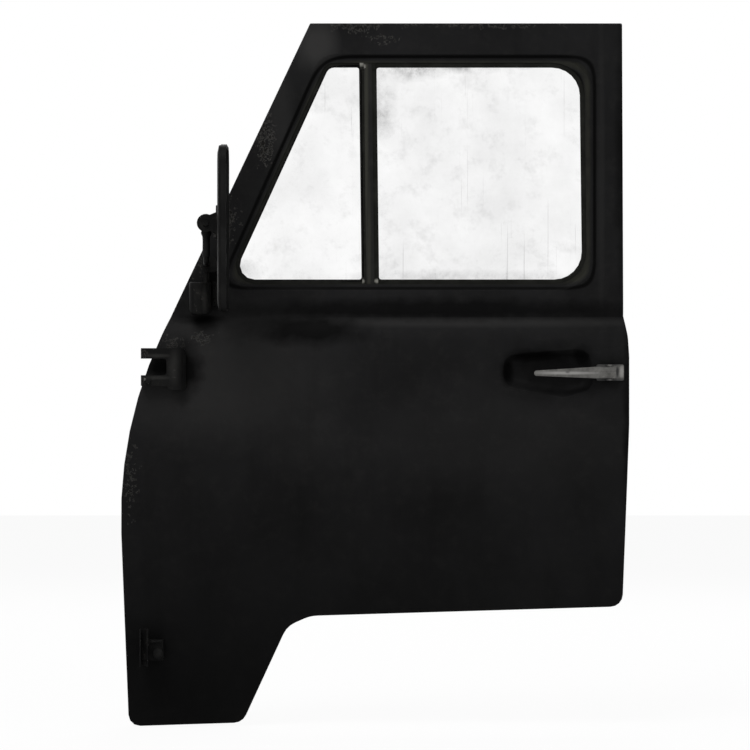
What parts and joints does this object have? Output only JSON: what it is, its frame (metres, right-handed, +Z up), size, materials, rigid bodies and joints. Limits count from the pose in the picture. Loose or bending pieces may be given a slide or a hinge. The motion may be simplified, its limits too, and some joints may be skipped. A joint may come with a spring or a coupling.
{
  "type": "car door shell",
  "caption": "Front cab door with divided window, winding glass, swivelling vent, exterior mirror, pull handle, lock and outside hinges.",
  "frame": {"origin": "on the axis of the hinge pins, level with the middle of the upper hinge", "axes": "+X to the rear edge of the door, +Y into the cab, +Z up along the hinge axis"},
  "size_m": [0.9661, 0.318, 1.3406],
  "materials": {
    "door_paint": "satin black paint, chipped and dusty",
    "inside_paint": "satin black paint",
    "hinge_paint": "satin black paint over steel",
    "seal_rubber": "matt weathered rubber",
    "run_felt": "short felt lining",
    "window_glass": "clear, lightly scratched",
    "plated_steel": "dull zinc plate",
    "worn_chrome": "worn grey metal",
    "black_plastic": "matt black",
    "mirror_silver": "silvered glass"
  },
  "bodies": {
    "door": {"access_cover": "inside_paint", "cover_screw_1": "plated_steel", "cover_screw_2": "plated_steel", "cover_screw_3": "plated_steel", "cover_screw_4": "plated_steel", "division_bar": "door_paint", "door_seal": "seal_rubber", "front_run_channel": "run_felt", "handle_base": "worn_chrome", "handle_escutcheon": "black_plastic", "handle_pivot_pin": "worn_chrome", "inner_panel": "inside_paint", "latch_case": "plated_steel", "latch_face_plate": "hinge_paint", "latch_screw_1": "plated_steel", "latch_screw_2": "plated_steel", "latch_screw_3": "plated_steel", "lower_hinge_bolt": "hinge_paint", "lower_hinge_bracket": "hinge_paint", "lower_hinge_plate": "plated_steel", "main_window_seal": "seal_rubber", "mirror_bracket": "hinge_paint", "mirror_screw_1": "plated_steel", "mirror_screw_2": "plated_steel", "mirror_strap": "hinge_paint", "outer_skin": "door_paint", "pin_lock_screw": "plated_steel", "rear_run_channel": "run_felt", "regulator_plate": "plated_steel", "regulator_screw_1": "plated_steel", "regulator_screw_2": "plated_steel", "regulator_screw_3": "plated_steel", "upper_hinge_bolt_1": "plated_steel", "upper_hinge_bolt_2": "plated_steel", "upper_hinge_bracket": "hinge_paint", "upper_hinge_plate": "plated_steel", "vent_pivot_bracket": "plated_steel", "vent_window_seal": "seal_rubber", "winder_escutcheon": "black_plastic"},
    "outside_lever": {"outside_handle": "worn_chrome"},
    "mirror_arm": {"mirror_arm": "hinge_paint"},
    "mirror_knuckle": {"mirror_knuckle": "black_plastic"},
    "mirror_head": {"mirror_clamp": "hinge_paint", "mirror_tilt_pin": "plated_steel", "mirror_shell": "hinge_paint", "mirror_rim": "black_plastic", "mirror_glass": "mirror_silver"},
    "vent": {"vent_sash": "hinge_paint", "vent_glass": "window_glass"},
    "winder_crank": {"crank_shaft": "plated_steel", "winder_handle": "worn_chrome"},
    "winder_knob": {"winder_knob": "black_plastic"},
    "regulator_arm": {"regulator_arm": "plated_steel"},
    "roller": {"regulator_roller": "black_plastic"},
    "glass": {"main_glass": "window_glass", "lift_channel": "plated_steel"},
    "latch_rotor": {"latch_rotor": "plated_steel"},
    "inside_lever": {"inside_handle": "worn_chrome", "inside_spindle": "plated_steel"},
    "remote_rod": {"remote_rod": "plated_steel"}
  },
  "joints": [
    {"name": "outside_handle_pull", "type": "hinge", "parent": "door", "child": "outside_lever", "pos_m": [0.88, 0.003, -0.012], "axis": [0, 0, 1], "range_deg": [0, 30], "stiffness_Nm_per_rad": 1.5, "springref_deg": -11.46},
    {"name": "mirror_arm_swing", "type": "hinge", "parent": "door", "child": "mirror_arm", "pos_m": [0.115, 0.008, 0.161], "axis": [0, 0, 1], "range_deg": [-60, 45]},
    {"name": "mirror_turn", "type": "hinge", "parent": "mirror_arm", "child": "mirror_knuckle", "pos_m": [0.119, -0.1, 0.269], "axis": [0, 0, 1], "range_deg": [-20, 8]},
    {"name": "mirror_tilt", "type": "hinge", "parent": "mirror_knuckle", "child": "mirror_head", "pos_m": [0.119, -0.1, 0.269], "axis": [0, 1, 0], "range_deg": [-10, 6]},
    {"name": "vent_swing", "type": "hinge", "parent": "door", "child": "vent", "pos_m": [0.372, 0.05, 0.368], "axis": [0.0122, 0, -0.9999], "range_deg": [0, 72]},
    {"name": "winder_turn", "type": "hinge", "parent": "door", "child": "winder_crank", "pos_m": [0.33, 0.068, -0.2225], "axis": [0, -1, 0], "range_deg": [0, 1124.2]},
    {"name": "knob_spin", "type": "hinge", "parent": "winder_crank", "child": "winder_knob", "pos_m": [0.2825, 0.11, -0.1402], "axis": [0, 1, 0], "continuous": true},
    {"name": "arm_lower", "type": "hinge", "parent": "door", "child": "regulator_arm", "pos_m": [0.33, 0.068, -0.0885], "axis": [0, 1, 0], "range_deg": [0, 71.38]},
    {"name": "roller_spin", "type": "hinge", "parent": "regulator_arm", "child": "roller", "pos_m": [0.598, 0.068, 0.104], "axis": [0, 1, 0], "continuous": true},
    {"name": "glass_lower", "type": "slide", "parent": "door", "child": "glass", "axis": [0.0122, 0, -0.9999], "range_m": [0, 0.385]},
    {"name": "rotor_turn", "type": "hinge", "parent": "door", "child": "latch_rotor", "pos_m": [0.9, 0.058, -0.02], "axis": [1, 0, 0], "continuous": true},
    {"name": "inside_handle_pull", "type": "hinge", "parent": "door", "child": "inside_lever", "pos_m": [0.76, 0.08, -0.06], "axis": [0, -1, 0], "range_deg": [0, 25], "stiffness_Nm_per_rad": 1.5, "springref_deg": -11.46},
    {"name": "rod_draw", "type": "slide", "parent": "door", "child": "remote_rod", "axis": [-1, 0, 0], "range_m": [0, 0.0096]}
  ],
  "couplings": [
    {"joint": "arm_lower", "follows": "winder_turn", "ratio": 0.063492},
    {"joint": "glass_lower", "follows": "winder_turn", "m_per_rad": 0.01962},
    {"joint": "rod_draw", "follows": "inside_handle_pull", "m_per_rad": 0.022}
  ]
}
